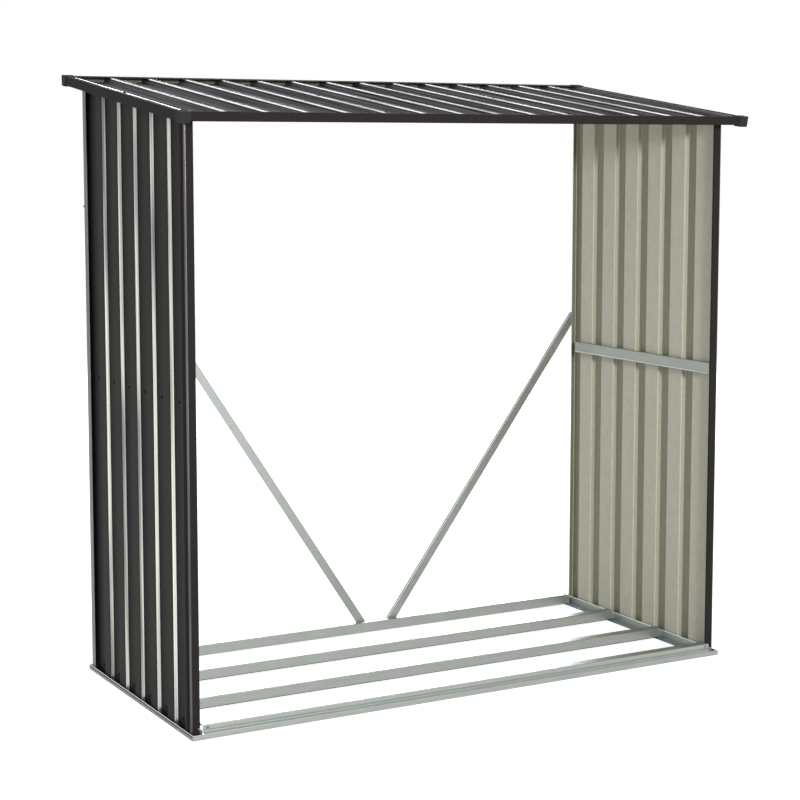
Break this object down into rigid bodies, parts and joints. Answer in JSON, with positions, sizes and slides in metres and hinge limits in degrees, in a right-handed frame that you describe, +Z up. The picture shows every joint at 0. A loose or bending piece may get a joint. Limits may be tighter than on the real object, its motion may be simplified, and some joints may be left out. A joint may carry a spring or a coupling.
{
  "type": "log store",
  "caption": "Free-standing pent-roof log store: galvanised base frame, ribbed steel side walls, open front, cross-braced open back and ribbed roof falling to the front.",
  "frame": {"origin": "on the ground, under the middle of the roof", "axes": "+X to the right along the width, +Y from the open front to the back, +Z up"},
  "size_m": [1.63, 0.806, 1.585],
  "materials": {
    "galvanised_frame": "hot-dip galvanised, smooth",
    "wall_sheet": "coil coated anthracite outside, grey-beige back coat inside",
    "roof_sheet": "coil coated anthracite outside, grey-beige back coat inside",
    "trim": "coil coated anthracite, folded",
    "cap": "moulded, fine matt"
  },
  "bodies": {
    "root": {"front_base_rail": "galvanised_frame", "back_base_rail": "galvanised_frame", "left_base_rail": "galvanised_frame", "right_base_rail": "galvanised_frame", "front_floor_beam": "galvanised_frame", "back_floor_beam": "galvanised_frame", "left_wall_sheet": "wall_sheet", "right_wall_sheet": "wall_sheet", "front_left_post": "trim", "front_right_post": "trim", "back_left_post": "trim", "back_right_post": "trim", "left_mid_rail": "galvanised_frame", "right_mid_rail": "galvanised_frame", "left_top_rail": "galvanised_frame", "right_top_rail": "galvanised_frame", "front_roof_rail": "galvanised_frame", "back_roof_rail": "galvanised_frame", "left_brace": "galvanised_frame", "right_brace": "galvanised_frame", "left_roof_sheet": "roof_sheet", "middle_roof_sheet": "roof_sheet", "right_roof_sheet": "roof_sheet", "left_rake_trim": "trim", "right_rake_trim": "trim", "front_fascia": "trim", "back_trim": "trim", "front_left_cap": "cap", "front_right_cap": "cap", "back_left_cap": "cap", "back_right_cap": "cap"}
  },
  "joints": []
}
